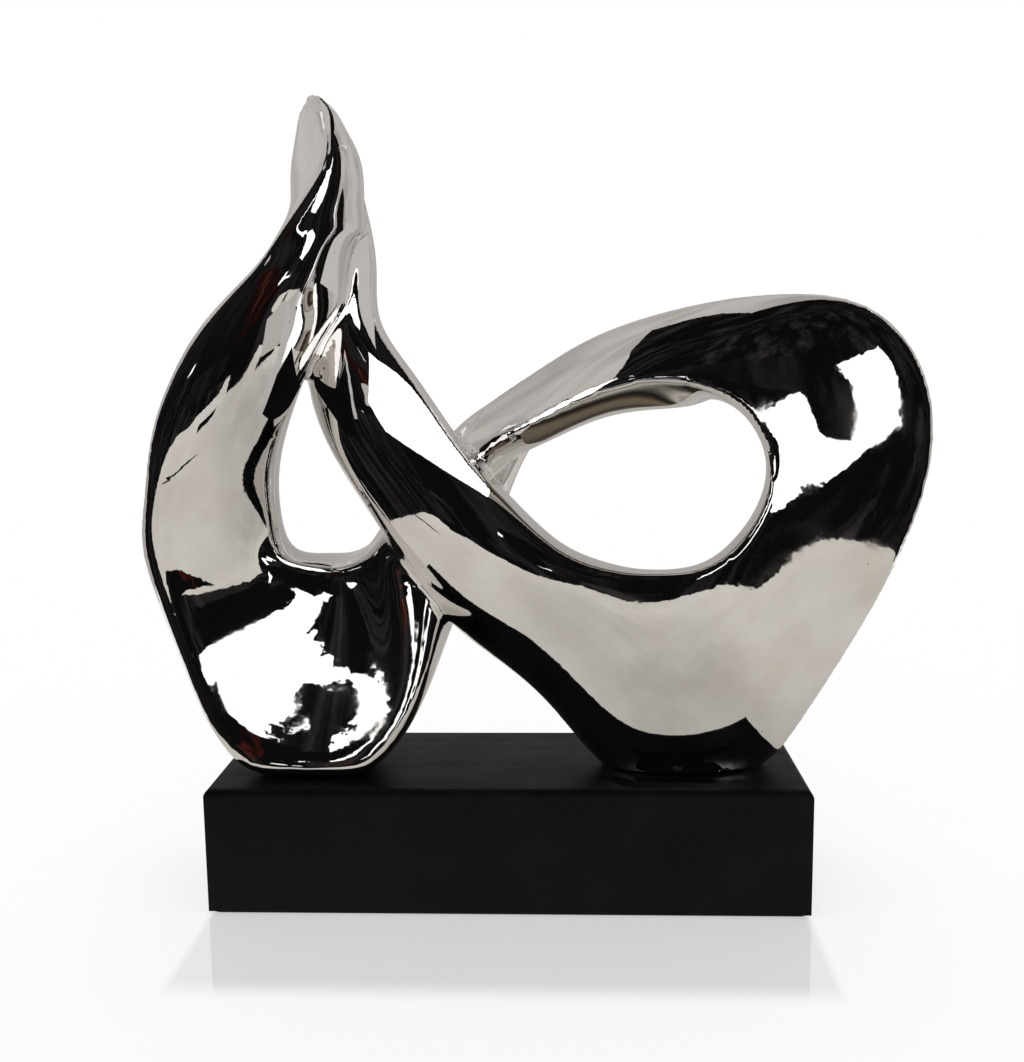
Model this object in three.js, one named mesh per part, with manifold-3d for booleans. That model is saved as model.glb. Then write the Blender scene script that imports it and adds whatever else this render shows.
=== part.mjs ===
// Infinity sculpture: a hollow slip-cast ceramic band, mirror glazed, that twists through a
// figure eight and stands on two feet on a black wooden block. Two bolts come up through the
// block into plugs cast in the feet, and a felt sheet under the block hides them.
// Millimetres, +Z up, front towards -Y. The origin is the middle of the felt's underside.

import * as THREE from 'three';
import { mergeVertices } from 'three/addons/utils/BufferGeometryUtils.js';
import Module from 'manifold-3d';

// Ceramic body: spacing of its feet, and heights above the soles of the horn and the right loop
const FOOT_SPACING = 198;
const HORN_HEIGHT = 333;
const LOOP_HEIGHT = 238;

// Wooden base, wider than the feet stand by its overhang at each end
const BASE_OVERHANG = 51;
const BASE_DEPTH = 95;
const BASE_HEIGHT = 63.5;
const BASE_CORNER_RADIUS = 3;
const BASE_TOP_ROUND = 4;

// Felt sheet under the base
const FELT_THICKNESS = 1.5;
const FELT_INSET = 2;

// Bolt axes in the feet, and the thin pads between glaze and paint
const FOOT_SETBACK = -3;
const PAD_THICKNESS = 1;
const PAD_LENGTH = 44;
const PAD_WIDTH = 32;

// Fastening of each foot
const BOLT_DIAMETER = 6;
const BOLT_PROTRUSION = 4;
const BOLT_HEAD_WIDTH = 10;
const BOLT_HEAD_HEIGHT = 4;
const WASHER_DIAMETER = 18;
const WASHER_THICKNESS = 1.5;
const COUNTERBORE_DIAMETER = 21;
const COUNTERBORE_DEPTH = 20;
const NUT_WIDTH = 10;
const NUT_HEIGHT = 6;
const NUT_COVER = 8;
const PLUG_DIAMETER = 26;
const PLUG_HEIGHT = 26;
const BOLT_CLEARANCE = 0.5;
const FIT_CLEARANCE = 0.3;

// Facets
const BAND_SIDES = 32;
const RINGS_PER_SPAN = 3;
const TANGENT_STEP = 2;
const ROUND_SIDES = 24;
const CORNER_STEPS = 4;
const TIP_STEPS = 3;

const footPlane = FELT_THICKNESS + BASE_HEIGHT + PAD_THICKNESS;
const leftFoot = -FOOT_SPACING / 2;
const rightFoot = FOOT_SPACING / 2;
const crossing = 0;
const soles = 0;
const loopTop = LOOP_HEIGHT;
const hornTop = HORN_HEIGHT;
const baseWidth = FOOT_SPACING + 2 * BASE_OVERHANG;
const feet = { left: leftFoot, right: rightFoot };

// Sections of the band. Each gives the two edges of its front face: outer, away from the loop's
// opening, and inner, at the opening's rim. x is measured from the foot or crossing named in
// "from", y from the middle of the base and z from the height in "level". crown is how far the
// front face arches over the line between its edges, and back how deep the band is behind it.
// An edge of 1 is knife sharp and of 0.5 fully round. flat is 2 on an arched face and 6 or more
// on one with a flat middle, which hollow then dishes. straight is 0 where the depth stands
// square to the band, and 1 where it runs straight back.
const BLADE_DEFAULTS = {
  outerEdge: 0.5, innerEdge: 0.5, flat: 2, straight: 1, backEdge: 0.5, hollow: 0,
};
const BLADE = [
  { from: leftFoot, level: hornTop, outer: [17, -31, -4], inner: [6, -13, 0],
    crown: 3, back: 2, straight: 0 },
  { from: leftFoot, level: hornTop, outer: [21, -38, -10], inner: [1, -3, -2],
    crown: 8, back: 2, straight: 0 },
  { from: leftFoot, level: hornTop, outer: [24, -49, -20], inner: [-3, 6, -9],
    crown: 15, back: 3, straight: 0 },
  { from: leftFoot, level: hornTop, outer: [24, -55, -33], inner: [-7, 12, -21],
    crown: 24, back: 3, straight: 0 },
  { from: leftFoot, level: hornTop, outer: [14, -57, -52], inner: [-8, 16, -40],
    crown: 31, back: 4, straight: 0 },
  { from: leftFoot, level: hornTop, outer: [-1, -56, -70], inner: [4, 16, -65],
    crown: 31, back: 7, straight: 0.1, outerEdge: 0.65 },
  { from: leftFoot, level: hornTop, outer: [-15, -56, -85], inner: [20, -6, -90],
    crown: 21, back: 12, straight: 0.35, outerEdge: 0.8 },
  { from: leftFoot, level: hornTop, outer: [-35, -55, -104], inner: [17, -27, -107],
    crown: 16, back: 28, straight: 0.7, outerEdge: 0.8, innerEdge: 0.55 },
  { from: leftFoot, level: soles, outer: [-55, -54, 200], inner: [3, -34, 199],
    crown: 14, back: 40, outerEdge: 0.85, innerEdge: 0.6 },
  { from: leftFoot, level: soles, outer: [-67, -50, 172], inner: [-10, -26, 169],
    crown: 13, back: 44, outerEdge: 0.8, innerEdge: 0.6 },
  { from: leftFoot, level: soles, outer: [-76, -38, 142], inner: [-17, -12, 143],
    crown: 12, back: 44, outerEdge: 0.7, innerEdge: 0.6, flat: 2.5 },
  { from: leftFoot, level: soles, outer: [-83, -20, 110], inner: [-17, -1, 120],
    crown: 14, back: 42, flat: 3 },
  { from: leftFoot, level: soles, outer: [-69, -8, 58], inner: [-11, 8, 109],
    crown: 19, back: 44, outerEdge: 0.25, innerEdge: 0.25, flat: 6, hollow: 2 },
  { from: leftFoot, level: soles, outer: [-39, -14, 6], inner: [1, 14, 106],
    crown: 22, back: 54, outerEdge: 0.2, innerEdge: 0.2, backEdge: 0.35, flat: 9, hollow: 5 },
  { from: leftFoot, level: soles, outer: [2, -16, -9], inner: [13, 18, 106],
    crown: 24, back: 56, outerEdge: 0.2, innerEdge: 0.2, backEdge: 0.35, flat: 9, hollow: 6 },
  { from: leftFoot, level: soles, outer: [43, -8, 14], inner: [25, 18, 112],
    crown: 27, back: 48, outerEdge: 0.2, innerEdge: 0.2, backEdge: 0.35, flat: 8, hollow: 5 },
  { from: crossing, level: soles, outer: [-31, 14, 66], inner: [-62, 18, 129],
    crown: 32, back: 26, outerEdge: 0.3, innerEdge: 0.4, flat: 4 },
  { from: crossing, level: soles, outer: [-10, 20, 108], inner: [-36, 24, 163],
    crown: 26, back: 24 },
  { from: crossing, level: soles, outer: [7, 20, 152], inner: [-12, 24, 184],
    crown: 14, back: 18 },
  { from: crossing, level: soles, outer: [30, 14, 184], inner: [24, 18, 201],
    crown: 8, back: 8 },
];
const RING_DEFAULTS = {
  outerEdge: 0.6, innerEdge: 0.9, flat: 2, straight: 1, backEdge: 0.4, hollow: 0,
};
const RING = [
  { from: leftFoot, level: hornTop, outer: [6, -20, -53], inner: [31, -17, -38],
    crown: 3, back: 18, straight: 0.7 },
  { from: leftFoot, level: hornTop, outer: [5, -12, -77], inner: [35, -12, -61],
    crown: 6, back: 26, straight: 0.7 },
  { from: leftFoot, level: hornTop, outer: [4, -9, -101], inner: [36, -11, -79],
    crown: 8, back: 32, straight: 0.7 },
  { from: leftFoot, level: hornTop, outer: [1, -10, -126], inner: [36, -14, -101],
    crown: 10, back: 38, straight: 0.7 },
  { from: leftFoot, level: soles, outer: [6, -14, 179], inner: [52, -24, 205],
    crown: 12, back: 48, straight: 0.7 },
  { from: crossing, level: soles, outer: [-78, -16, 149], inner: [-24, -32, 171],
    crown: 13, back: 54, straight: 0.7 },
  { from: crossing, level: soles, outer: [-51, -14, 106], inner: [4, -38, 138],
    crown: 13, back: 58, straight: 0.7 },
  { from: crossing, level: soles, outer: [-23, -8, 69], inner: [29, -40, 116],
    crown: 12, back: 60, straight: 0.8 },
  { from: rightFoot, level: soles, outer: [-80, -6, 33], inner: [-46, -40, 107],
    crown: 11, back: 60, straight: 0.85 },
  { from: rightFoot, level: soles, outer: [-31, -10, -17], inner: [-24, -40, 105],
    crown: 9, back: 60, straight: 0.85, outerEdge: 0.7 },
  { from: rightFoot, level: soles, outer: [18, -10, -14], inner: [-2, -40, 108],
    crown: 7, back: 60, straight: 0.85, outerEdge: 0.8 },
  { from: rightFoot, level: soles, outer: [59, -8, 33], inner: [18, -39, 124],
    crown: 5, back: 58, straight: 0.9, outerEdge: 0.8 },
  { from: rightFoot, level: soles, outer: [93, -20, 103], inner: [28, -38, 147],
    crown: 3, back: 54, outerEdge: 0.9 },
  { from: rightFoot, level: loopTop, outer: [107, -28, -52], inner: [24, -37, -68],
    crown: 3, back: 50, outerEdge: 0.9 },
  { from: rightFoot, level: loopTop, outer: [81, -24, -10], inner: [12, -37, -53],
    crown: 5, back: 48, straight: 0.6, outerEdge: 0.7 },
  { from: rightFoot, level: loopTop, outer: [36, -14, 0], inner: [-9, -36, -43],
    crown: 7, back: 42, straight: 0.2 },
  { from: rightFoot, level: loopTop, outer: [-5, 4, -5], inner: [-31, -35, -40],
    crown: 7, back: 34, straight: 0.05 },
  { from: crossing, level: loopTop, outer: [48, 20, -18], inner: [39, -32, -47],
    crown: 4, back: 26, straight: 0 },
  { from: crossing, level: soles, outer: [11, 26, 199], inner: [8, -24, 175],
    crown: 3, back: 22, straight: 0 },
  { from: crossing, level: soles, outer: [-20, 28, 177], inner: [-9, -14, 164],
    crown: 3, back: 20, straight: 0 },
  { from: crossing, level: soles, outer: [-42, 28, 150], inner: [-23, -4, 143],
    crown: 3, back: 18, straight: 0 },
];
const TIP_LENGTH = 3;

// The band draws in just above the soles
const HEEL_HEIGHT = 7;
const HEEL_ROUND = 6;

// Natural cubic spline through one value at each knot
function spline(knots, values) {
  const last = knots.length - 1;
  const bend = new Array(last + 1).fill(0);
  const part = new Array(last + 1).fill(0);
  for (let i = 1; i < last; i++) {
    const before = knots[i] - knots[i - 1];
    const after = knots[i + 1] - knots[i];
    const share = before / (before + after);
    const pivot = share * bend[i - 1] + 2;
    const turn = (values[i + 1] - values[i]) / after - (values[i] - values[i - 1]) / before;
    bend[i] = (share - 1) / pivot;
    part[i] = (6 * turn / (before + after) - share * part[i - 1]) / pivot;
  }
  bend[last] = 0;
  for (let i = last - 1; i >= 0; i--) {
    bend[i] = bend[i] * bend[i + 1] + part[i];
  }
  return (t) => {
    let i = 0;
    while (i < last - 1 && t > knots[i + 1]) {
      i++;
    }
    const span = knots[i + 1] - knots[i];
    const a = (knots[i + 1] - t) / span;
    const b = 1 - a;
    const cubic = ((a ** 3 - a) * bend[i] + (b ** 3 - b) * bend[i + 1]) * span ** 2 / 6;
    return a * values[i] + b * values[i + 1] + cubic;
  };
}

function middleOf(ring) {
  return ring.reduce((sum, p) => sum.add(p), new THREE.Vector3()).divideScalar(ring.length);
}

// Closed surface through rings of equal length, with a fan over each end
function skin(rings) {
  const sides = rings[0].length;
  const points = rings.flat();
  const faces = [];
  for (let i = 0; i < rings.length - 1; i++) {
    for (let j = 0; j < sides; j++) {
      const a = i * sides + j;
      const b = i * sides + (j + 1) % sides;
      faces.push(a, b, b + sides, a, b + sides, a + sides);
    }
  }
  const lastRing = (rings.length - 1) * sides;
  points.push(middleOf(rings[0]), middleOf(rings[rings.length - 1]));
  for (let j = 0; j < sides; j++) {
    const next = (j + 1) % sides;
    faces.push(points.length - 2, next, j, points.length - 1, lastRing + j, lastRing + next);
  }
  const geometry = new THREE.BufferGeometry().setFromPoints(points);
  geometry.setIndex(faces);
  return geometry;
}

// Rings of a band between its edge rails, as many in each span from one section to the next
function bandRings(rows, defaults) {
  const sections = rows.map((row) => ({ ...defaults, ...row }));
  const place = (s, edge) => [s.from + s[edge][0], s[edge][1], s.level + s[edge][2]];
  const columns = sections.map((s) => [
    ...place(s, 'outer'), ...place(s, 'inner'),
    s.crown, s.back, s.outerEdge, s.innerEdge, s.flat, s.straight, s.backEdge, s.hollow,
  ]);
  const middle = (c) => new THREE.Vector3(c[0] + c[3], c[1] + c[4], c[2] + c[5]).multiplyScalar(0.5);
  const last = columns.length - 1;
  const knots = [0];
  for (let i = 1; i <= last; i++) {
    knots.push(knots[i - 1] + middle(columns[i]).distanceTo(middle(columns[i - 1])));
  }
  const curves = columns[0].map((_, k) => spline(knots, columns.map((c) => c[k])));
  const at = (t) => curves.map((curve) => curve(t));
  const rings = [];
  for (let k = 0; k <= last * RINGS_PER_SPAN; k++) {
    const span = Math.min(Math.floor(k / RINGS_PER_SPAN), last - 1);
    const t = knots[span] + (knots[span + 1] - knots[span]) * (k / RINGS_PER_SPAN - span);
    const along = middle(at(t + TANGENT_STEP)).sub(middle(at(t - TANGENT_STEP))).normalize();
    rings.push(section(at(t), along));
  }
  return rings;
}

// One section, from the outer edge over the round back to the inner edge and back over the front
function section(values, along) {
  const outer = new THREE.Vector3(...values.slice(0, 3));
  const inner = new THREE.Vector3(...values.slice(3, 6));
  const [crown, back, outerEdge, innerEdge, flat, straight, backEdge, hollow] = values.slice(6);
  const centre = outer.clone().add(inner).multiplyScalar(0.5);
  const half = outer.clone().sub(inner).multiplyScalar(0.5);
  const across = half.clone().normalize();
  const front = across.clone().cross(along);
  front.addScaledVector(across, -front.dot(across)).normalize();
  front.lerp(new THREE.Vector3(0, -1, 0), straight).normalize();
  const ring = [];
  for (let j = 0; j < BAND_SIDES; j++) {
    const angle = 2 * Math.PI * j / BAND_SIDES;
    const u = Math.cos(angle);
    const isFront = j >= BAND_SIDES / 2;
    const sharpness = innerEdge + (outerEdge - innerEdge) * (1 + u) / 2;
    const arch = Math.max(1 - Math.abs(u) ** (isFront ? flat : 2), 0);
    const dish = hollow * (1 - u ** 2);
    const rise = isFront ? crown * arch ** sharpness - dish : -back * arch ** backEdge;
    ring.push(centre.clone().addScaledVector(half, u).addScaledVector(front, rise));
  }
  return ring.map((p) => drawnIn(p, centre));
}

// A point near the soles, moved in towards the middle of its section
function drawnIn(point, centre) {
  const low = THREE.MathUtils.clamp((soles + HEEL_HEIGHT - point.z) / HEEL_HEIGHT, 0, 1);
  const inward = centre.clone().sub(point).setZ(0).normalize();
  return point.addScaledVector(inward, HEEL_ROUND * (1 - Math.sqrt(1 - low ** 2)));
}

// Rounded tip: the first ring drawn in and carried on along the band
function withTip(rings) {
  const first = rings[0];
  const centre = middleOf(first);
  const outward = centre.clone().sub(middleOf(rings[1])).normalize();
  const tip = [];
  for (let k = TIP_STEPS; k >= 1; k--) {
    const angle = 0.5 * Math.PI * k / (TIP_STEPS + 1);
    const top = centre.clone().addScaledVector(outward, TIP_LENGTH * Math.sin(angle));
    tip.push(first.map((p) => p.clone().sub(centre).multiplyScalar(Math.cos(angle)).add(top)));
  }
  return [...tip, ...rings];
}

const wasm = await Module();
wasm.setup();

function solid(geometry) {
  const bare = geometry.clone();
  bare.deleteAttribute('normal');
  bare.deleteAttribute('uv');
  const merged = mergeVertices(bare);
  const mesh = new wasm.Mesh({
    numProp: 3,
    vertProperties: new Float32Array(merged.attributes.position.array),
    triVerts: new Uint32Array(merged.index.array),
  });
  return new wasm.Manifold(mesh);
}

function geometryOf(manifold) {
  const { vertProperties, triVerts } = manifold.getMesh();
  const geometry = new THREE.BufferGeometry();
  geometry.setAttribute('position', new THREE.BufferAttribute(vertProperties, 3));
  geometry.setIndex(new THREE.BufferAttribute(triVerts, 1));
  return geometry;
}

// Upright prism of an outline between two heights
function prism(outline, bottom, top) {
  const options = { depth: top - bottom, bevelEnabled: false, curveSegments: ROUND_SIDES };
  return new THREE.ExtrudeGeometry(outline, options).translate(0, 0, bottom);
}

function regularOutline(sides, radius, x = 0, y = 0) {
  const corners = [];
  for (let k = 0; k < sides; k++) {
    const angle = 2 * Math.PI * k / sides;
    corners.push(new THREE.Vector2(x + radius * Math.cos(angle), y + radius * Math.sin(angle)));
  }
  return new THREE.Shape(corners);
}

function rod(diameter, x, y, bottom, top) {
  return solid(prism(regularOutline(ROUND_SIDES, diameter / 2, x, y), bottom, top));
}

function hexagon(widthAcrossFlats, x, y, bottom, top) {
  return solid(prism(regularOutline(6, widthAcrossFlats / Math.sqrt(3), x, y), bottom, top));
}

// Rectangle with rounded corners, as a ring of points at one height
function roundedRectangle(width, depth, radius, height) {
  const ring = [];
  for (let corner = 0; corner < 4; corner++) {
    const sx = corner === 0 || corner === 3 ? 1 : -1;
    const sy = corner < 2 ? 1 : -1;
    for (let k = 0; k <= CORNER_STEPS; k++) {
      const angle = 0.5 * Math.PI * (corner + k / CORNER_STEPS);
      const x = sx * (width / 2 - radius) + radius * Math.cos(angle);
      const y = sy * (depth / 2 - radius) + radius * Math.sin(angle);
      ring.push(new THREE.Vector3(x, y, height));
    }
  }
  return ring;
}

// Heights up the stack
const baseBottom = FELT_THICKNESS;
const baseTop = FELT_THICKNESS + BASE_HEIGHT;
const washerTop = baseBottom + COUNTERBORE_DEPTH - FIT_CLEARANCE;
const headTop = washerTop - WASHER_THICKNESS;
const plugBottom = footPlane;
const plugTop = plugBottom + PLUG_HEIGHT;
const nutBottom = plugBottom + NUT_COVER;
const nutTop = nutBottom + NUT_HEIGHT;
const boltTop = nutTop + BOLT_PROTRUSION;
const boltHole = BOLT_DIAMETER + 2 * BOLT_CLEARANCE;

// Ceramic body: the two ends of the figure eight, joined where they cross and at the horn,
// cut flat under the feet and bored for the plugs
function ceramicBody() {
  const lift = new THREE.Matrix4().makeTranslation(0, 0, footPlane);
  const blade = skin(withTip(bandRings(BLADE, BLADE_DEFAULTS))).applyMatrix4(lift);
  const ring = skin(bandRings(RING, RING_DEFAULTS)).applyMatrix4(lift);
  const spare = 2 * FOOT_SPACING;
  const below = solid(prism(regularOutline(4, spare), -spare, footPlane));
  let body = solid(blade).add(solid(ring)).subtract(below);
  for (const x of Object.values(feet)) {
    const socket = rod(PLUG_DIAMETER + 2 * FIT_CLEARANCE, x, FOOT_SETBACK, 0, plugTop + FIT_CLEARANCE);
    body = body.subtract(socket);
  }
  return geometryOf(body);
}

function baseBlock() {
  const rings = [roundedRectangle(baseWidth, BASE_DEPTH, BASE_CORNER_RADIUS, baseBottom)];
  for (let k = 0; k <= CORNER_STEPS; k++) {
    const angle = 0.5 * Math.PI * k / CORNER_STEPS;
    const inset = 2 * BASE_TOP_ROUND * (1 - Math.cos(angle));
    const height = baseTop - BASE_TOP_ROUND * (1 - Math.sin(angle));
    rings.push(roundedRectangle(baseWidth - inset, BASE_DEPTH - inset, BASE_CORNER_RADIUS, height));
  }
  let block = solid(skin(rings));
  for (const x of Object.values(feet)) {
    const hole = rod(boltHole, x, FOOT_SETBACK, 0, footPlane);
    const counterbore = rod(COUNTERBORE_DIAMETER, x, FOOT_SETBACK, 0, baseBottom + COUNTERBORE_DEPTH);
    block = block.subtract(hole).subtract(counterbore);
  }
  return geometryOf(block);
}

function feltSheet() {
  const width = baseWidth - 2 * FELT_INSET;
  const depth = BASE_DEPTH - 2 * FELT_INSET;
  const ring = (height) => roundedRectangle(width, depth, BASE_CORNER_RADIUS, height);
  return skin([ring(0), ring(FELT_THICKNESS)]);
}

function footPad(x) {
  const outline = new THREE.Shape();
  outline.absellipse(x, FOOT_SETBACK, PAD_LENGTH / 2, PAD_WIDTH / 2, 0, 2 * Math.PI);
  const pad = solid(prism(outline, baseTop, footPlane));
  return geometryOf(pad.subtract(rod(boltHole, x, FOOT_SETBACK, 0, 2 * footPlane)));
}

// Plug: cast in the foot around a hexagon nut, open above the nut for the bolt's end
function anchorPlug(x) {
  const plug = rod(PLUG_DIAMETER, x, FOOT_SETBACK, plugBottom, plugTop);
  const hole = rod(boltHole, x, FOOT_SETBACK, 0, plugTop + PLUG_HEIGHT);
  const pocketWidth = NUT_WIDTH + 2 * FIT_CLEARANCE;
  const pocket = hexagon(pocketWidth, x, FOOT_SETBACK, nutBottom, plugTop + PLUG_HEIGHT);
  return geometryOf(plug.subtract(hole).subtract(pocket));
}

function anchorNut(x) {
  const nut = hexagon(NUT_WIDTH, x, FOOT_SETBACK, nutBottom, nutTop);
  const bore = rod(BOLT_DIAMETER + 2 * FIT_CLEARANCE, x, FOOT_SETBACK, 0, plugTop + PLUG_HEIGHT);
  return geometryOf(nut.subtract(bore));
}

function mountingBolt(x) {
  const head = hexagon(BOLT_HEAD_WIDTH, x, FOOT_SETBACK, headTop - BOLT_HEAD_HEIGHT, headTop);
  const shank = rod(BOLT_DIAMETER, x, FOOT_SETBACK, headTop - BOLT_HEAD_HEIGHT / 2, boltTop);
  return geometryOf(head.add(shank));
}

function boltWasher(x) {
  const disc = rod(WASHER_DIAMETER, x, FOOT_SETBACK, headTop, washerTop);
  return geometryOf(disc.subtract(rod(boltHole, x, FOOT_SETBACK, 0, footPlane)));
}

const finishes = {
  mirrorGlaze: { color: 0xc6c1bc, roughness: 0.05, metalness: 1 },
  blackPaint: { color: 0x121213, roughness: 0.55, metalness: 0 },
  felt: { color: 0x1c1c1e, roughness: 0.95, metalness: 0 },
  padSheet: { color: 0x2c2c2e, roughness: 0.85, metalness: 0 },
  plaster: { color: 0xd8d2c6, roughness: 0.9, metalness: 0 },
  zincSteel: { color: 0xa9abae, roughness: 0.35, metalness: 1 },
};

const group = new THREE.Group();

function addPiece(name, geometry, finish) {
  const mesh = new THREE.Mesh(geometry, new THREE.MeshStandardMaterial(finishes[finish]));
  mesh.name = name;
  group.add(mesh);
}

addPiece('felt_sheet', feltSheet(), 'felt');
addPiece('base_block', baseBlock(), 'blackPaint');
for (const [side, x] of Object.entries(feet)) {
  addPiece(`bolt_washer_${side}`, boltWasher(x), 'zincSteel');
  addPiece(`mounting_bolt_${side}`, mountingBolt(x), 'zincSteel');
  addPiece(`foot_pad_${side}`, footPad(x), 'padSheet');
  addPiece(`anchor_plug_${side}`, anchorPlug(x), 'plaster');
  addPiece(`anchor_nut_${side}`, anchorNut(x), 'zincSteel');
}
addPiece('ceramic_body', ceramicBody(), 'mirrorGlaze');

export default group;
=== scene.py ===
import math

import bmesh
import bpy
import numpy as np
from mathutils import Matrix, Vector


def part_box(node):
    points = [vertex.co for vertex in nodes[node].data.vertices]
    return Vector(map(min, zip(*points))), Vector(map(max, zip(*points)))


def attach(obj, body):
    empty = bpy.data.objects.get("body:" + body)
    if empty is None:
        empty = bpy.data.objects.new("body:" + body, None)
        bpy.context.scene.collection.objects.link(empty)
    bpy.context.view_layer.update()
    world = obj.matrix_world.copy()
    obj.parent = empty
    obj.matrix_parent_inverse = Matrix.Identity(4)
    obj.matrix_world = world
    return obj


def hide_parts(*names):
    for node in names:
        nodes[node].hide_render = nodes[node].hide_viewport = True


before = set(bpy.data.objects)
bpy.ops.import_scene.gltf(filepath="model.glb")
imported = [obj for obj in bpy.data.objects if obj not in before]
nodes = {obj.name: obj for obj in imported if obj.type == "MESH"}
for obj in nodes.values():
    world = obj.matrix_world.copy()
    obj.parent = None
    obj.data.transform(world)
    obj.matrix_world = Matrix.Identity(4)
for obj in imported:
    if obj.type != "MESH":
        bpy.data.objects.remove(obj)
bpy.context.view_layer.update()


# Felt sheet: pressed wool felt, cut a little smaller than the block and glued under it.
# It hides the bolt heads and keeps the block from scratching the table.
FELT_DARK = (0.010, 0.010, 0.011, 1)
FELT_PALE = (0.034, 0.033, 0.034, 1)


class Tone:
    """A socket of a material. Sums and products of tones add Math nodes to the same material."""

    def __init__(self, tree, socket=None):
        self.tree = tree
        self.socket = socket

    def node(self, kind, settings=None, sockets=None, out=0):
        """Any node, from its type, its settings and the values or links of its sockets."""
        made = self.tree.nodes.new("ShaderNode" + kind)
        for name, value in (settings or {}).items():
            if name == "stops":
                ramp = made.color_ramp.elements
                while len(ramp) < len(value):
                    ramp.new(0.5)
                for element, (place, colour) in zip(ramp, value):
                    element.position = place
                    element.color = colour
            else:
                setattr(made, name, value)
        for name, value in (sockets or {}).items():
            if isinstance(value, Tone):
                self.tree.links.new(value.socket, made.inputs[name])
            else:
                made.inputs[name].default_value = value
        return Tone(self.tree, made.outputs[out] if made.outputs else None)

    def maths(self, operation, first, second):
        """A Math node on two values or tones."""
        return self.node("Math", {"operation": operation}, {0: first, 1: second})

    def __add__(self, other):
        return self.maths("ADD", self, other)

    def __radd__(self, other):
        return self.maths("ADD", other, self)

    def __sub__(self, other):
        return self.maths("SUBTRACT", self, other)

    def __rsub__(self, other):
        return self.maths("SUBTRACT", other, self)

    def __mul__(self, other):
        return self.maths("MULTIPLY", self, other)

    def __rmul__(self, other):
        return self.maths("MULTIPLY", other, self)

    def between(self, low, high, to_low=0.0, to_high=1.0):
        """The value's smooth way from low to high, as a way from to_low to to_high."""
        return self.node("MapRange", {"interpolation_type": "SMOOTHSTEP"},
                         {0: self, 1: low, 2: high, 3: to_low, 4: to_high})

    def blend(self, first, second):
        """The first colour where the value is 0, the second where it is 1."""
        return self.node("Mix", {"data_type": "RGBA"}, {0: self, 6: first, 7: second}, out=2)

    def noise(self, scale, detail, roughness=0.5):
        """Soft noise over the place that this tone holds."""
        return self.node("TexNoise", None, {"Vector": self, "Scale": scale,
                                            "Detail": detail, "Roughness": roughness})

    def spots(self, scale):
        """Distance to the nearest of many scattered points."""
        return self.node("TexVoronoi", {"feature": "F1"}, {"Vector": self, "Scale": scale})

    def squeezed(self, x, y, z):
        """The place, with each axis times its own number, so that a pattern runs along the others."""
        return self.node("Mapping", None, {"Vector": self, "Scale": (x, y, z)})

    def axis(self, number):
        """One coordinate of the place: 0, 1 or 2 for x, y or z."""
        return self.node("SeparateXYZ", None, {0: self}, out=number)

    def bump(self, strength, distance):
        """The surface's normal with this tone as its height."""
        return self.node("Bump", None, {"Strength": strength, "Distance": distance, "Height": self})


def new_finish(name):
    """A material with one Principled shader, and its Object coordinates."""
    finish = bpy.data.materials.new(name)
    finish.use_nodes = True
    tone = Tone(finish.node_tree)
    return finish, finish.node_tree.nodes["Principled BSDF"], tone.node("TexCoord", out=3)


def drive(finish, shader, **tones):
    """Link tones to the shader's sockets, named with _ for a space."""
    for name, tone in tones.items():
        finish.node_tree.links.new(tone.socket, shader.inputs[name.replace("_", " ")])


def dress(node, finish):
    """Give a CAD node its finish."""
    nodes[node].data.materials.clear()
    nodes[node].data.materials.append(finish)


wool_felt, shader, place = new_finish("wool_felt")
fibres = place.noise(900.0, 6.0, 0.7)
tufts = place.noise(120.0, 3.0)
drive(wool_felt, shader,
      Base_Color=(fibres * 0.6 + tufts * 0.4).between(0.35, 0.65).blend(FELT_DARK, FELT_PALE),
      Roughness=fibres.between(0.2, 0.8, 0.88, 1.0),
      Normal=fibres.bump(0.6, 0.0004))
dress("felt_sheet", wool_felt)


# Base block: solid wood with rounded top edges, sanded and sprayed satin black.
# Two counterbored holes from below take the bolts that hold the sculpture.
block_low, block_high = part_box("base_block")
PAINT_DARK = (0.0018, 0.0018, 0.0019, 1)
PAINT_DUSTY = (0.008, 0.008, 0.0083, 1)
PAINT_SHINE = 0.14
TOP_ROUND = 0.004
CORNER_ROUND = 0.003
HOLE_RADIUS = 0.0035
COUNTERBORE_RADIUS = 0.0105
COUNTERBORE_DEPTH = 0.020
BOLT_X = 0.099
BOLT_Y = -0.003
PAST_END = 0.01
HAIR = 1e-5
DRILL_SIDES = 48


def deselect():
    """Leave nothing selected, so that the next step acts on its own piece alone."""
    bpy.ops.object.select_all(action="DESELECT")


def pick(piece):
    """Select one piece alone and make it the active one."""
    deselect()
    piece.select_set(True)
    bpy.context.view_layer.objects.active = piece


def apply(piece, kind, **settings):
    """Add a modifier to the piece and apply it."""
    pick(piece)
    modifier = piece.modifiers.new(kind.lower(), kind)
    for name, value in settings.items():
        setattr(modifier, name, value)
    bpy.ops.object.modifier_apply(modifier=modifier.name)


def drill(piece, radius, x, y, bottom, top):
    """Cut a round hole with an upright cylinder, which is then removed."""
    deselect()
    bpy.ops.mesh.primitive_cylinder_add(vertices=DRILL_SIDES, radius=radius, depth=top - bottom,
                                        location=(x, y, (bottom + top) / 2))
    tool = bpy.context.object
    apply(piece, "BOOLEAN", operation="DIFFERENCE", solver="EXACT", object=tool)
    bpy.data.objects.remove(tool)


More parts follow.
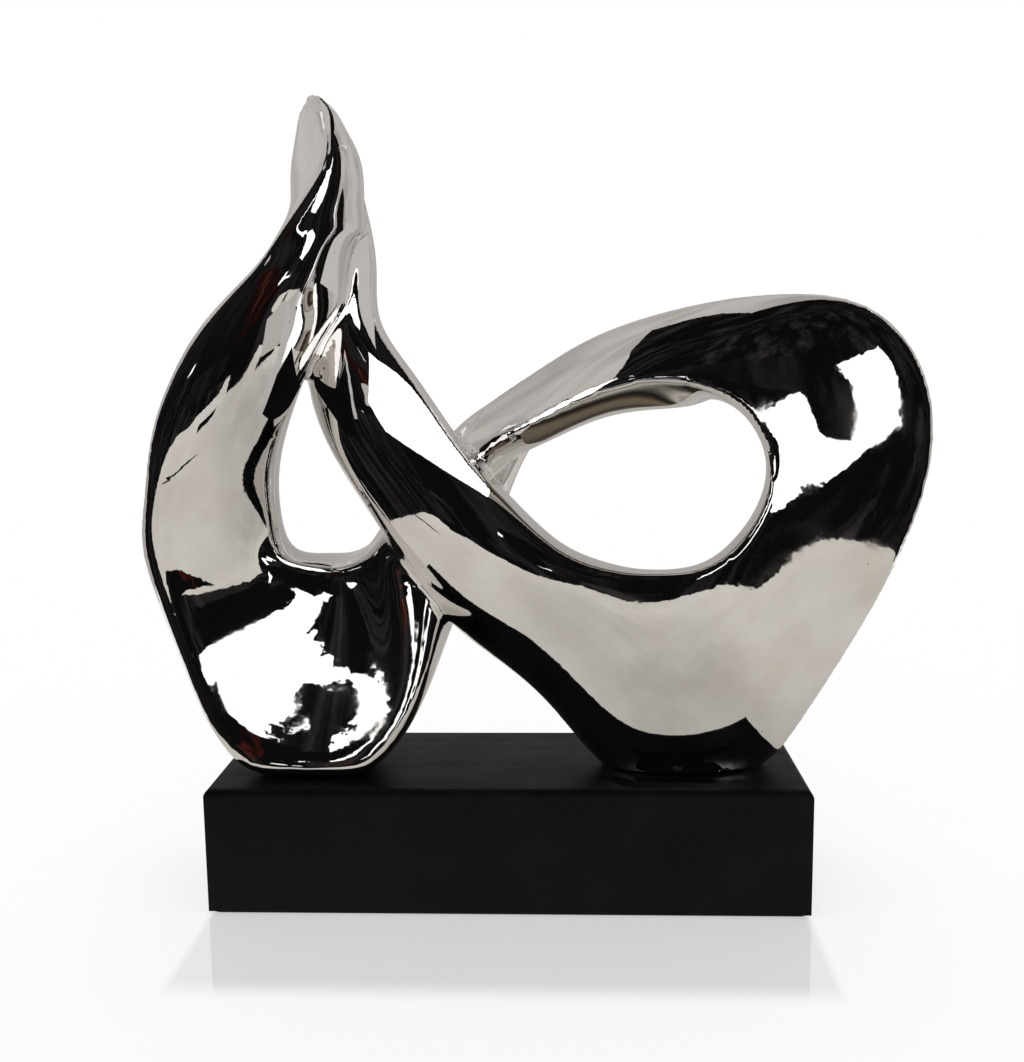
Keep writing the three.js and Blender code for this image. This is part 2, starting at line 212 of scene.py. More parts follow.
deselect()
bpy.ops.mesh.primitive_cube_add(size=1, location=(block_low + block_high) / 2)
block = bpy.context.object
block.name = "painted_block"
block.scale = block_high - block_low
bpy.ops.object.transform_apply(location=True, rotation=False, scale=True)
bpy.ops.object.mode_set(mode="EDIT")
cage = bmesh.from_edit_mesh(block.data)
for edge in cage.edges:
    edge.select = abs(edge.verts[0].co.z - edge.verts[1].co.z) > HAIR
bpy.ops.mesh.bevel(offset=CORNER_ROUND, segments=6, affect="EDGES")
bpy.ops.mesh.select_all(action="DESELECT")
cage = bmesh.from_edit_mesh(block.data)
for edge in cage.edges:
    edge.select = all(v.co.z > block_high.z - HAIR for v in edge.verts)
bpy.ops.mesh.bevel(offset=TOP_ROUND, segments=8, affect="EDGES")
bpy.ops.object.mode_set(mode="OBJECT")
for side in (-BOLT_X, BOLT_X):
    drill(block, HOLE_RADIUS, side, BOLT_Y, 0.0, block_high.z + PAST_END)
    drill(block, COUNTERBORE_RADIUS, side, BOLT_Y, -PAST_END, block_low.z + COUNTERBORE_DEPTH)
pick(block)
bpy.ops.object.shade_smooth_by_angle(angle=math.radians(28))

satin_paint, shader, place = new_finish("satin_black_paint")
grain = place.squeezed(14.0, 160.0, 160.0).noise(1.0, 5.0, 0.6)
mist = place.noise(900.0, 2.0)
rub = place.noise(26.0, 4.0, 0.65)
speck = place.spots(160.0).between(0.05, 0.09, 1.0, 0.0) * rub.between(0.56, 0.66)
drive(satin_paint, shader,
      Base_Color=(speck * 0.5 + rub.between(0.4, 0.75) * 0.35).blend(PAINT_DARK, PAINT_DUSTY),
      Roughness=(grain * 0.4 + rub * 0.6).between(0.3, 0.7, 0.42, 0.56),
      Normal=(grain * 0.6 + mist * 0.12).bump(0.35, 0.0004))
shader.inputs["Specular IOR Level"].default_value = PAINT_SHINE
block.data.materials.append(satin_paint)
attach(block, "root")
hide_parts("base_block")


# Bolts, washers and nuts: zinc-plated steel, one set for each foot.
# Each bolt comes up from its counterbore, through block and pad, into the nut in the foot.
ZINC_DULL = (0.46, 0.47, 0.48, 1)
ZINC_BRIGHT = (0.66, 0.67, 0.67, 1)
zinc, shader, place = new_finish("zinc_plate")
bloom = place.noise(420.0, 5.0, 0.6)
streak = place.squeezed(900.0, 900.0, 60.0).noise(1.0, 3.0)
drive(zinc, shader,
      Base_Color=bloom.between(0.35, 0.65).blend(ZINC_DULL, ZINC_BRIGHT),
      Roughness=(bloom * 0.6 + streak * 0.4).between(0.3, 0.7, 0.24, 0.46))
shader.inputs["Metallic"].default_value = 1.0
for side in ("left", "right"):
    for piece in ("mounting_bolt", "bolt_washer", "anchor_nut"):
        dress(f"{piece}_{side}", zinc)


# Pads: thin black rubber sheet, punched for the bolt and laid between each glazed sole and the paint.
# The bolt's pull holds them, and they keep the glaze from chipping.
RUBBER_DARK = (0.018, 0.018, 0.019, 1)
RUBBER_WORN = (0.034, 0.034, 0.035, 1)
pad_rubber, shader, place = new_finish("pad_rubber")
skin = place.noise(700.0, 3.0)
drive(pad_rubber, shader,
      Base_Color=skin.between(0.3, 0.7).blend(RUBBER_DARK, RUBBER_WORN),
      Roughness=skin.between(0.3, 0.7, 0.75, 0.92))
for side in ("left", "right"):
    dress(f"foot_pad_{side}", pad_rubber)


# Anchor plugs: plaster poured into the hollow feet around the nuts, so that the bolts have a hold.
# It sets hard against the unglazed wall and is levelled off with the sole.
PLASTER_DAMP = (0.60, 0.57, 0.51, 1)
PLASTER_DRY = (0.84, 0.81, 0.75, 1)
plaster, shader, place = new_finish("cast_plaster")
chalk = place.noise(260.0, 6.0, 0.65)
pores = place.spots(420.0).between(0.08, 0.2)
drive(plaster, shader,
      Base_Color=(chalk * pores).between(0.2, 0.7).blend(PLASTER_DAMP, PLASTER_DRY),
      Roughness=chalk.between(0.3, 0.7, 0.85, 0.97),
      Normal=pores.bump(0.4, 0.0003))
for side in ("left", "right"):
    dress(f"anchor_plug_{side}", plaster)


# Ceramic body: one hollow slip-cast band, glazed and fired again with a mirror platinum lustre.
# The band twists through the figure eight. Its surface runs through listed sections, and the joints at the
# crossing and the horn are sponged smooth before firing.
LUSTRE_CLEAR = (0.80, 0.79, 0.785, 1)
LUSTRE_WARM = (0.74, 0.715, 0.69, 1)
LUSTRE_PIT = (0.05, 0.045, 0.04, 1)
LEFT_FOOT = -BOLT_X
RIGHT_FOOT = BOLT_X
CROSSING = 0.0
BAND_SIDES = 96
RINGS_PER_SPAN = 9
LOOK_AHEAD = 0.002
SMALLEST_DETAIL = 0.0018
SPONGE_PASSES = 8
TIP_LENGTH = 0.003
TIP_RINGS = 5
HEEL_HEIGHT = 0.007
HEEL_ROUND = 0.006
PLUG_GAP = 0.0003
plug_low, plug_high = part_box("anchor_plug_right")
SOLES = plug_low.z
PLUG_SOCKET_RADIUS = (plug_high.x - plug_low.x) / 2 + PLUG_GAP
PLUG_SOCKET_TOP = plug_high.z + PLUG_GAP

# Each row: foot or crossing, outer edge and inner edge (mm from there, from the base's middle and from
# the soles), crown and depth behind in mm, then how sharp the outer and inner edges are, how flat the
# front is and how straight it faces forward, how sharp the back edge is, and a hollow in mm if any.
blade_rows = [
    (LEFT_FOOT, (17, -31, 329), (6, -13, 333), 3, 2, 0.5, 0.5, 2, 0, 0.5),
    (LEFT_FOOT, (21, -38, 323), (1, -3, 331), 8, 2, 0.5, 0.5, 2, 0, 0.5),
    (LEFT_FOOT, (24, -49, 313), (-3, 6, 324), 15, 3, 0.5, 0.5, 2, 0, 0.5),
    (LEFT_FOOT, (24, -55, 300), (-7, 12, 312), 24, 3, 0.5, 0.5, 2, 0, 0.5),
    (LEFT_FOOT, (14, -57, 281), (-8, 16, 293), 31, 4, 0.5, 0.5, 2, 0, 0.5),
    (LEFT_FOOT, (-1, -56, 263), (4, 16, 268), 31, 7, 0.65, 0.5, 2, 0.1, 0.5),
    (LEFT_FOOT, (-15, -56, 248), (20, -6, 243), 21, 12, 0.8, 0.5, 2, 0.35, 0.5),
    (LEFT_FOOT, (-35, -55, 229), (17, -27, 226), 16, 28, 0.8, 0.55, 2, 0.7, 0.5),
    (LEFT_FOOT, (-55, -54, 200), (3, -34, 199), 14, 40, 0.85, 0.6, 2, 1, 0.5),
    (LEFT_FOOT, (-67, -50, 172), (-10, -26, 169), 13, 44, 0.8, 0.6, 2, 1, 0.5),
    (LEFT_FOOT, (-76, -38, 142), (-17, -12, 143), 12, 44, 0.7, 0.6, 2.5, 1, 0.5),
    (LEFT_FOOT, (-83, -20, 110), (-17, -1, 120), 14, 42, 0.5, 0.5, 3, 1, 0.5),
    (LEFT_FOOT, (-69, -8, 58), (-11, 8, 109), 19, 44, 0.25, 0.25, 6, 1, 0.5, 2),
    (LEFT_FOOT, (-39, -14, 6), (1, 14, 106), 22, 54, 0.2, 0.2, 9, 1, 0.35, 5),
    (LEFT_FOOT, (2, -16, -9), (13, 18, 106), 24, 56, 0.2, 0.2, 9, 1, 0.35, 6),
    (LEFT_FOOT, (43, -8, 14), (25, 18, 112), 27, 48, 0.2, 0.2, 8, 1, 0.35, 5),
    (CROSSING, (-31, 14, 66), (-62, 18, 129), 32, 26, 0.3, 0.4, 4, 1, 0.5),
    (CROSSING, (-10, 20, 108), (-36, 24, 163), 26, 24, 0.5, 0.5, 2, 1, 0.5),
    (CROSSING, (7, 20, 152), (-12, 24, 184), 14, 18, 0.5, 0.5, 2, 1, 0.5),
    (CROSSING, (30, 14, 184), (24, 18, 201), 8, 8, 0.5, 0.5, 2, 1, 0.5),
]
ring_rows = [
    (LEFT_FOOT, (6, -20, 280), (31, -17, 295), 3, 18, 0.6, 0.9, 2, 0.7, 0.4),
    (LEFT_FOOT, (5, -12, 256), (35, -12, 272), 6, 26, 0.6, 0.9, 2, 0.7, 0.4),
    (LEFT_FOOT, (4, -9, 232), (36, -11, 254), 8, 32, 0.6, 0.9, 2, 0.7, 0.4),
    (LEFT_FOOT, (1, -10, 207), (36, -14, 232), 10, 38, 0.6, 0.9, 2, 0.7, 0.4),
    (LEFT_FOOT, (6, -14, 179), (52, -24, 205), 12, 48, 0.6, 0.9, 2, 0.7, 0.4),
    (CROSSING, (-78, -16, 149), (-24, -32, 171), 13, 54, 0.6, 0.9, 2, 0.7, 0.4),
    (CROSSING, (-51, -14, 106), (4, -38, 138), 13, 58, 0.6, 0.9, 2, 0.7, 0.4),
    (CROSSING, (-23, -8, 69), (29, -40, 116), 12, 60, 0.6, 0.9, 2, 0.8, 0.4),
    (RIGHT_FOOT, (-80, -6, 33), (-46, -40, 107), 11, 60, 0.6, 0.9, 2, 0.85, 0.4),
    (RIGHT_FOOT, (-31, -10, -17), (-24, -40, 105), 9, 60, 0.7, 0.9, 2, 0.85, 0.4),
    (RIGHT_FOOT, (18, -10, -14), (-2, -40, 108), 7, 60, 0.8, 0.9, 2, 0.85, 0.4),
    (RIGHT_FOOT, (59, -8, 33), (18, -39, 124), 5, 58, 0.8, 0.9, 2, 0.9, 0.4),
    (RIGHT_FOOT, (93, -20, 103), (28, -38, 147), 3, 54, 0.9, 0.9, 2, 1, 0.4),
    (RIGHT_FOOT, (106.4, -28, 186), (24, -37, 170), 3, 50, 0.9, 0.9, 2, 1, 0.4),
    (RIGHT_FOOT, (81, -24, 228), (12, -37, 185), 5, 48, 0.7, 0.9, 2, 0.6, 0.4),
    (RIGHT_FOOT, (36, -14, 238), (-9, -36, 195), 7, 42, 0.6, 0.9, 2, 0.2, 0.4),
    (RIGHT_FOOT, (-5, 4, 233), (-31, -35, 198), 7, 34, 0.6, 0.9, 2, 0.05, 0.4),
    (CROSSING, (48, 20, 220), (39, -32, 191), 4, 26, 0.6, 0.9, 2, 0, 0.4),
    (CROSSING, (11, 26, 199), (8, -24, 175), 3, 22, 0.6, 0.9, 2, 0, 0.4),
    (CROSSING, (-20, 28, 177), (-9, -14, 164), 3, 20, 0.6, 0.9, 2, 0, 0.4),
    (CROSSING, (-42, 28, 150), (-23, -4, 143), 3, 18, 0.6, 0.9, 2, 0, 0.4),
]


def natural_spline(knots, values):
    """Natural cubic spline through rows of values, as a function of the length along the band."""
    spans = np.diff(knots)
    count = len(knots)
    system = np.eye(count)
    load = np.zeros_like(values)
    for i in range(1, count - 1):
        system[i, i - 1:i + 2] = spans[i - 1], 2 * (spans[i - 1] + spans[i]), spans[i]
        load[i] = 6 * ((values[i + 1] - values[i]) / spans[i] - (values[i] - values[i - 1]) / spans[i - 1])
    bend = np.linalg.solve(system, load)

    def at(t):
        i = int(np.clip(np.searchsorted(knots, t) - 1, 0, count - 2))
        a = (knots[i + 1] - t) / spans[i]
        b = 1 - a
        cubic = ((a ** 3 - a) * bend[i] + (b ** 3 - b) * bend[i + 1]) * spans[i] ** 2 / 6
        return a * values[i] + b * values[i + 1] + cubic

    return at


def band_rings(rows, round_tip):
    """Rings of points around the band, from its first section to its last."""
    table = []
    for start, outer, inner, crown, depth, *shape in rows:
        edges = [start + outer[0] / 1000, outer[1] / 1000, SOLES + outer[2] / 1000,
                 start + inner[0] / 1000, inner[1] / 1000, SOLES + inner[2] / 1000]
        table.append(edges + [crown / 1000, depth / 1000] + (shape + [0])[:6])
    table = np.array(table, float)
    middle = (table[:, :3] + table[:, 3:6]) / 2
    knots = np.concatenate([[0], np.cumsum(np.linalg.norm(np.diff(middle, axis=0), axis=1))])
    at = natural_spline(knots, table)
    angle = 2 * np.pi * np.arange(BAND_SIDES) / BAND_SIDES
    across_share = np.cos(angle)
    is_front = angle >= np.pi
    rings = []
    for k in range((len(rows) - 1) * RINGS_PER_SPAN + 1):
        span = min(k // RINGS_PER_SPAN, len(rows) - 2)
        t = knots[span] + (knots[span + 1] - knots[span]) * (k / RINGS_PER_SPAN - span)
        value = at(t)
        ahead, behind = at(t + LOOK_AHEAD), at(t - LOOK_AHEAD)
        travel = (ahead[:3] + ahead[3:6] - behind[:3] - behind[3:6]) / 2
        travel /= np.linalg.norm(travel)
        half = (value[:3] - value[3:6]) / 2
        across = half / np.linalg.norm(half)
        front = np.cross(across, travel)
        front -= across * front.dot(across)
        front /= np.linalg.norm(front)
        crown, depth, outer_edge, inner_edge, flat, straight, back_edge, hollow = value[6:]
        front = front * (1 - straight) + np.array([0, -1, 0]) * straight
        front /= np.linalg.norm(front)
        sharp = inner_edge + (outer_edge - inner_edge) * (1 + across_share) / 2
        arch = np.clip(1 - np.abs(across_share) ** np.where(is_front, flat, 2), 0, None)
        scoop = hollow / 1000 * (1 - across_share ** 2)
        rise = np.where(is_front, crown * arch ** sharp - scoop, -depth * arch ** back_edge)
        centre = (value[:3] + value[3:6]) / 2
        points = centre + across_share[:, None] * half + rise[:, None] * front
        low = np.clip((SOLES + HEEL_HEIGHT - points[:, 2]) / HEEL_HEIGHT, 0, 1)
        inward = (centre - points) * [1, 1, 0]
        inward /= np.linalg.norm(inward, axis=1, keepdims=True) + 1e-9
        rings.append(points + inward * (HEEL_ROUND * (1 - np.sqrt(1 - low ** 2)))[:, None])
    if round_tip:
        first, middle = rings[0], rings[0].mean(axis=0)
        outward = middle - rings[1].mean(axis=0)
        outward *= TIP_LENGTH / np.linalg.norm(outward)
        for k in range(1, TIP_RINGS + 1):
            turn = k / (TIP_RINGS + 1) * np.pi / 2
            rings.insert(0, middle + (first - middle) * np.cos(turn) + outward * np.sin(turn))
    return rings


def loft(rows, name, round_tip=False):
    """A closed skin over the rings, as one mesh piece."""
    rings = band_rings(rows, round_tip)
    mesh = bpy.data.meshes.new(name)
    cage = bmesh.new()
    loops = [[cage.verts.new(p) for p in ring] for ring in rings]
    for one, two in zip(loops, loops[1:]):
        for j in range(BAND_SIDES):
            k = (j + 1) % BAND_SIDES
            cage.faces.new((one[j], one[k], two[k], two[j]))
    for loop, turn in ((loops[0], -1), (loops[-1], 1)):
        cage.faces.new(loop[::turn])
    cage.to_mesh(mesh)
    cage.free()
    piece = bpy.data.objects.new(name, mesh)
    bpy.context.scene.collection.objects.link(piece)
    return piece


body = loft(blade_rows, "mirror_band", round_tip=True)
ring = loft(ring_rows, "ring_band")
pick(body)
ring.select_set(True)
bpy.ops.object.join()
pick(body)
bpy.ops.object.duplicate()
mould = bpy.context.object
apply(body, "REMESH", mode="VOXEL", voxel_size=SMALLEST_DETAIL)
apply(body, "SHRINKWRAP", target=mould, wrap_method="NEAREST_SURFACEPOINT")
bpy.data.objects.remove(mould)
apply(body, "SMOOTH", factor=0.5, iterations=SPONGE_PASSES)
pick(body)
bpy.ops.object.mode_set(mode="EDIT")
bpy.ops.mesh.select_all(action="SELECT")
bpy.ops.mesh.bisect(plane_co=(0, 0, SOLES), plane_no=(0, 0, 1), clear_inner=True, use_fill=True)
bpy.ops.object.mode_set(mode="OBJECT")
for x in (LEFT_FOOT, RIGHT_FOOT):
    drill(body, PLUG_SOCKET_RADIUS, x, BOLT_Y, SOLES - PAST_END, PLUG_SOCKET_TOP)
pick(body)
bpy.ops.object.shade_smooth_by_angle(angle=math.radians(50))

lustre, shader, place = new_finish("platinum_lustre")
swell = place.noise(24.0, 1.0, 0.4)
ripple = place.noise(110.0, 2.0, 0.5)
smudge = place.noise(30.0, 5.0, 0.6)
pits = place.spots(70.0).between(0.015, 0.035, 1.0, 0.0)
drive(lustre, shader,
      Base_Color=pits.blend(smudge.between(0.35, 0.7).blend(LUSTRE_CLEAR, LUSTRE_WARM), LUSTRE_PIT),
      Roughness=smudge.between(0.45, 0.8, 0.02, 0.10) + pits * 0.3,
      Normal=(swell * 0.5 + ripple * 0.10).bump(1.0, 0.0005))
shader.inputs["Metallic"].default_value = 1.0
body.data.materials.append(lustre)
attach(body, "root")
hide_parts("ceramic_body")


# Studio: the room that the mirror glaze shows, made of glowing cards in millimetres. Only mirrors see
# them: they light nothing else and throw no shadow. A light tent stands behind the piece on a pale
# table, and the room in front is dark, with bright windows behind the camera.
WINDOW_GLOW = 1.6
WHITE = (1, 1, 1, 1)
MM = 0.001


def card(name, corners, paint, glow=1.0):
    """A flat card. Its paint is one colour, or a function that makes the colour from the place on it."""
    mesh = bpy.data.meshes.new(name)
    mesh.from_pydata([[c * MM for c in corner] for corner in corners], [], [range(len(corners))])
    piece = bpy.data.objects.new(name, mesh)
    bpy.context.scene.collection.objects.link(piece)
    finish = bpy.data.materials.new(name)
    finish.use_nodes = True
    finish.node_tree.nodes.clear()
    tone = Tone(finish.node_tree)
    colour = paint(tone.node("TexCoord", out=3)) if callable(paint) else paint
    light = tone.node("Emission", None, {"Color": colour, "Strength": glow})
    tone.node("OutputMaterial", None, {"Surface": light})
    mesh.materials.append(finish)
    piece.visible_camera = False
    piece.visible_shadow = False
    piece.visible_diffuse = False


def upright(y, *corners):
    """Corners (x, z) of a card that faces the piece."""
    return [(x, y, z) for x, z in corners]


def sideways(x, *corners):
    """Corners (y, z) of a card that faces along the base."""
    return [(x, y, z) for y, z in corners]


def level(z, *corners):
    """Corners (x, y) of a card that lies flat."""
    return [(x, y, z) for x, y in corners]


# Table, as the glaze shows it, with painted shadow of the piece and block: dimmer towards the tent,
# brighter on both sides of the right foot.
def table_paint(place):
    painted_shadow = place.axis(1).between(-0.60, -0.05).blend((0.67, 0.635, 0.59, 1), (0.45, 0.43, 0.40, 1))
    aside = place.node("Math", {"operation": "ABSOLUTE"}, {0: place.axis(0) - 0.11})
    # Painted shadow: darker in the middle, behind the right foot, than to both sides of it.
    shade = (aside.between(0.05, 0.22) * 0.6).blend(painted_shadow, (0.76, 0.72, 0.67, 1))
    mottle = place.noise(9.0, 4.0).between(0.35, 0.65)
    return (mottle * 0.16).blend(shade, (0.95, 0.92, 0.86, 1))


card("table_top", level(-1, (-330, -330), (-330, 1000), (900, 1000), (520, 300), (430, -150), (380, -380),
                        (300, -570), (150, -745), (90, -620), (15, -510), (-20, -440), (-95, -420),
                        (-175, -400), (-300, -390)), table_paint)


# Light tent: white cloth in the shade, behind the piece, at both sides and over it.
def tent_paint(place):
    sheen = place.noise(3.5, 2.0).between(0.35, 0.65)
    return sheen.blend((0.62, 0.59, 0.57, 1), (0.44, 0.415, 0.40, 1))


card("tent_left", sideways(-520, (250, 0), (-20, 0), (-20, 750), (250, 750)), tent_paint)
card("tent_right", sideways(540, (250, 0), (-80, 0), (-80, 750), (250, 750)), tent_paint)
card("tent_corner_left", [(-520, 250, 0), (-700, 420, 0), (-700, 420, 760), (-520, 250, 760)], tent_paint)
card("tent_corner_right", [(540, 250, 0), (700, 420, 0), (700, 420, 760), (540, 250, 760)], tent_paint)
card("tent_back", upright(420, (-700, 0), (700, 0), (700, 760), (-700, 760)), tent_paint)
card("tent_top", level(750, (-520, 420), (-520, -520), (-150, -520), (-140, -60), (-130, 170), (-100, 270),
                       (-65, 370), (0, 265), (50, 155), (100, -10), (520, -10), (520, 420)), tent_paint)


# Dark room: near black, with long soft folds. It stands in front and shows through the tent's slit.
def dark_paint(place):
    fold = place.squeezed(9.0, 9.0, 1.6).noise(1.0, 5.0, 0.6).between(0.45, 0.75)
    return fold.blend((0.004, 0.004, 0.004, 1), (0.035, 0.032, 0.031, 1))


card("room_top", level(757, (-300, -20), (300, -20), (300, 420), (-300, 420)), dark_paint)
card("room_wall", upright(-1300, (-2500, -3000), (2500, -3000), (2500, 2700), (-2500, 2700)), dark_paint)
card("room_ceiling", [(-2500, 0, 760), (2500, 0, 760), (2500, -1300, 2600), (-2500, -1300, 2600)],
     dark_paint)
card("room_left", [(-1600, -1300, -3000), (-560, -20, -3000), (-560, -20, 760), (-1600, -1300, 2600)],
     dark_paint)
card("room_right", [(1600, -1300, -3000), (560, -80, -3000), (560, -80, 760), (1600, -1300, 2600)],
     dark_paint)


# Windows behind the camera, white, with two dark blotches in front of the left one.
card("window_left", upright(-899, (35, 180), (20, 205), (-5, 220), (-35, 270), (-60, 320), (-100, 385),
                            (-130, 425), (-200, 455), (-270, 475), (-360, 495), (-410, 520), (-500, 555),
                            (-640, 530), (-760, 470), (-900, 400), (-1000, 300), (-1000, 140), (-35, 140),
                            (0, 145), (20, 150)), WHITE, WINDOW_GLOW)
card("window_right", upright(-898, (20, -10), (390, 255), (430, 285), (460, 165), (540, 130), (605, 120),
                             (615, 265), (615, 390), (585, 500), (855, 765), (880, 560), (850, 345),
                             (850, 150), (675, 40), (595, -20), (515, 30), (440, 85), (380, 115),
                             (300, 95)), WHITE, WINDOW_GLOW)
card("blotch_high", upright(-890, (-115, 250), (-105, 260), (-155, 280), (-160, 300), (-225, 330),
                            (-240, 345), (-335, 370), (-350, 385), (-475, 395), (-500, 405), (-590, 405),
                            (-650, 395), (-680, 355), (-760, 340), (-1600, 330), (-1600, -20), (-300, 60),
                            (-250, 200), (-180, 235)), dark_paint)
card("blotch_low", upright(-890, (-185, 385), (-230, 395), (-290, 410), (-400, 425), (-505, 425),
                           (-550, 440), (-560, 460), (-540, 485), (-500, 500), (-415, 500), (-390, 510),
                           (-300, 485), (-255, 450), (-195, 450), (-165, 430), (-185, 425), (-205, 420),
                           (-180, 400)), dark_paint)


# Window cards nearer to the piece, which paint the white highlights on the crossing and on the horn.
def leaning(*corners):
    """Corners (x, z) of a card in front of the crossing, which leans towards the piece."""
    return [(x, 0.2 * z - 112, z) for x, z in corners]


card("window_near", leaning((-62, 310), (-80, 262), (-70, 243), (-45, 236), (-18, 232), (6, 228), (42, 250),
                            (42, 300), (20, 310)), WHITE, WINDOW_GLOW)
card("window_blade", upright(-90, (-58, 322), (-43, 315), (-30, 320), (-25, 335), (-28, 362), (-45, 365),
                             (-58, 345)), WHITE, WINDOW_GLOW)


# Flags: dark cards near the glaze, which paint dark reflections and keep windows and table out of single
# bands.
def sloping(drop, *corners):
    """Corners (x, y) of a card in front of the left foot, which slopes down to the front."""
    return [(x, y, 259 + 1.2 * y - drop) for x, y in corners]


card("flag_near", upright(-191, (-200, 192), (-72, 190), (-62, 150), (-20, 150), (10, 205), (60, 215),
                          (60, 262), (0, 276), (-140, 272), (-200, 272)), dark_paint)
card("flag_blade", upright(-120, (-190, 258), (-95, 262), (-84, 300), (-72, 338), (-72, 360), (-190, 365)),
     dark_paint)
card("flag_arm", sideways(-97, (-18, 300), (-44, 300), (-50, 262), (-48, 232), (-38, 232), (-28, 248),
                          (-18, 262)), dark_paint)
card("flag_right", upright(-192, (20, 262), (200, 262), (200, 335), (20, 335)), dark_paint)
card("flag_line", upright(-191, (-125, 104), (-95, 108), (-80, 116), (-80, 137), (-100, 132), (-125, 128)),
     dark_paint)
card("flag_rim", upright(-191, (30, 138), (115, 138), (115, 172), (30, 172)), dark_paint)
card("flag_dish", sloping(0, (-215, -152), (-180, -141), (-150, -134), (-123, -128), (-118, -116),
                          (-215, -115)), dark_paint)
# Painted shade at the right foot's heel: a black card just in front of it, which the heel's rounding
# reflects instead of the windows.
card("flag_heel", upright(-28, (58, 66.5), (122, 66.5), (116, 71), (64, 71)), (0.002, 0.002, 0.002, 1))


# Fills: small pale cards that paint light bands of reflection on the horn, and one that paints brown bands
# of reflection under the right loop.
BANDS_START = -0.063
BANDS_WIDTH = 0.060
BEND_START = 0.062
BEND = 47.0


def eye_paint(place):
    """Painted reflection: bands along the loop's inner edge, which bend back at the right."""
    right = place.maths("MAXIMUM", place.axis(0) - BEND_START, 0.0)
    inward = place.axis(1) - right * right * BEND
    bands = [(0.0, (0.50, 0.48, 0.45, 1)), (0.12, (0.22, 0.19, 0.17, 1)),
             (0.24, (0.46, 0.43, 0.38, 1)), (0.32, (0.10, 0.09, 0.08, 1)),
             (0.38, (0.014, 0.012, 0.01, 1)), (0.45, (0.035, 0.025, 0.018, 1)),
             (0.57, (0.155, 0.125, 0.085, 1)), (0.72, (0.13, 0.105, 0.08, 1)),
             (0.85, (0.05, 0.04, 0.03, 1)), (1.0, (0.14, 0.12, 0.12, 1))]
    return place.node("ValToRGB", {"stops": bands}, {0: (inward - BANDS_START) * (1 / BANDS_WIDTH)})


card("fill_eye", level(225, (5, -60), (118, -60), (118, 4), (90, 6), (60, -4), (24, -4), (12, -14),
                       (5, -28)), eye_paint)
card("fill_blade", upright(-72, (-92, 285), (-75, 285), (-60, 277), (-10, 262), (0, 250), (-20, 248),
                           (-60, 262), (-92, 262)), (0.52, 0.495, 0.46, 1))
card("fill_arm", sideways(-55, (-14, 300), (-35, 300), (-35, 335), (-14, 335)), (0.62, 0.60, 0.585, 1))
card("line_arm", sideways(-96, (-54, 245), (-50, 245), (-50, 300), (-54, 300)), (0.55, 0.53, 0.515, 1))


# Warm red cards in narrow folds, which paint red streaks into the reflections: three near the piece and two
# in the dark room.
def warm_paint(colour):
    def paint(place):
        fold = place.squeezed(160.0, 160.0, 12.0).noise(1.0, 3.0).between(0.38, 0.68)
        return fold.blend((0.006, 0.004, 0.004, 1), colour)

    return paint


card("warm_dish", sloping(1, (-165, -138), (-142, -134), (-133, -124), (-129, -116), (-138, -116),
                          (-150, -126)), warm_paint((0.06, 0.010, 0.008, 1)))
card("warm_blade", upright(-119, (-140, 350), (-95, 335), (-74, 303), (-70, 290), (-80, 272), (-112, 270),
                           (-106, 282), (-118, 308)), warm_paint((0.035, 0.006, 0.004, 1)))
card("warm_streak", upright(-118, (-122, 338), (-110, 336), (-90, 280), (-98, 278)),
     warm_paint((0.10, 0.026, 0.017, 1)))
card("warm_card", upright(-885, (-470, 105), (-400, 105), (-395, 190), (-450, 190)),
     warm_paint((0.09, 0.017, 0.010, 1)))
card("warm_edge", upright(-884, (-390, 110), (-330, 120), (-330, 180), (-385, 190)),
     warm_paint((0.16, 0.05, 0.03, 1)))


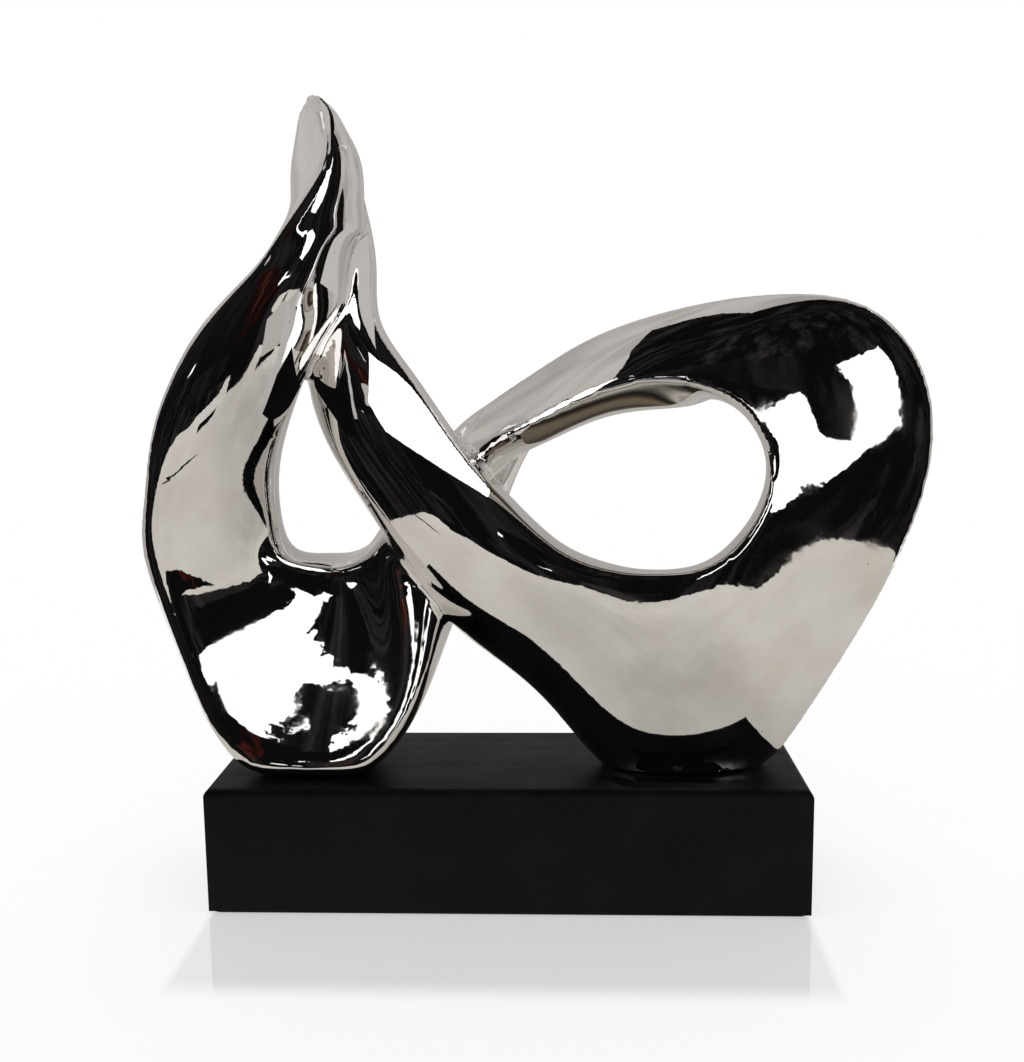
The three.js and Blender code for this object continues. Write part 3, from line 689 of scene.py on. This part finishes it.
# Floor: a pale glossy sheet under the block. The camera sees it white, with the block's soft shadow
# and, just in front of the block, a faint mirror image of it.
FLOOR_SIZE = 12.0
FLOOR_DROP = 0.0005
FLOOR_GLOW = 0.7
FLOOR_GLOSS = 0.27
deselect()
bpy.ops.mesh.primitive_plane_add(size=FLOOR_SIZE, location=(0, 0, -FLOOR_DROP))
floor = bpy.context.object
floor.name = "floor"
bpy.ops.object.transform_apply(location=True, rotation=False, scale=False)
sheet = bpy.data.materials.new("floor")
sheet.use_nodes = True
sheet.node_tree.nodes.clear()
tone = Tone(sheet.node_tree)
place = tone.node("TexCoord", out=3)
seen = tone.node("LightPath", out=0)
lit = tone.node("BsdfDiffuse", None, {"Color": WHITE})
glow = tone.node("Emission", None, {"Color": WHITE, "Strength": 1.0})
image = tone.node("BsdfGlossy", None, {"Color": WHITE, "Roughness": 0.02})
pale = tone.node("MixShader", None, {0: seen * FLOOR_GLOW, 1: lit, 2: glow})
in_front = place.axis(1).between(-0.128, -0.108) * place.axis(1).between(-0.040, -0.030, 1.0, 0.0)
aside = tone.node("Math", {"operation": "ABSOLUTE"}, {0: place.axis(0)})
under_block = in_front * aside.between(0.146, 0.152, 1.0, 0.0)
surface = tone.node("MixShader", None, {0: seen * under_block * FLOOR_GLOSS, 1: pale, 2: image})
tone.node("OutputMaterial", None, {"Surface": surface})
floor.data.materials.append(sheet)
floor.visible_glossy = False


# Light: plain white from all sides.
world = bpy.data.worlds.new("studio")
bpy.context.scene.world = world
world.use_nodes = True
world.node_tree.nodes.clear()
tone = Tone(world.node_tree)
sky = tone.node("Background", None, {"Color": WHITE, "Strength": 1.0})
tone.node("OutputWorld", None, {"Surface": sky})


# Camera, at the photograph's viewing angle: a little above the piece, and turned slightly to the left.
CAMERA_PLACE = (0.0289, -0.5956, 0.2713)
TURN = math.radians(2.50)
LOOK_DOWN = math.radians(8.07)
ROLL = math.radians(-0.73)
view = bpy.data.cameras.new("camera")
view.sensor_width = 36
view.lens = 39.63
view.clip_start = 0.01
camera = bpy.data.objects.new("camera", view)
bpy.context.scene.collection.objects.link(camera)
camera.matrix_world = (Matrix.Translation(CAMERA_PLACE)
                       @ Matrix.Rotation(TURN, 4, "Z")
                       @ Matrix.Rotation(math.pi / 2 - LOOK_DOWN, 4, "X")
                       @ Matrix.Rotation(ROLL, 4, "Z"))
bpy.context.scene.camera = camera
bpy.context.scene.view_settings.view_transform = "Standard"
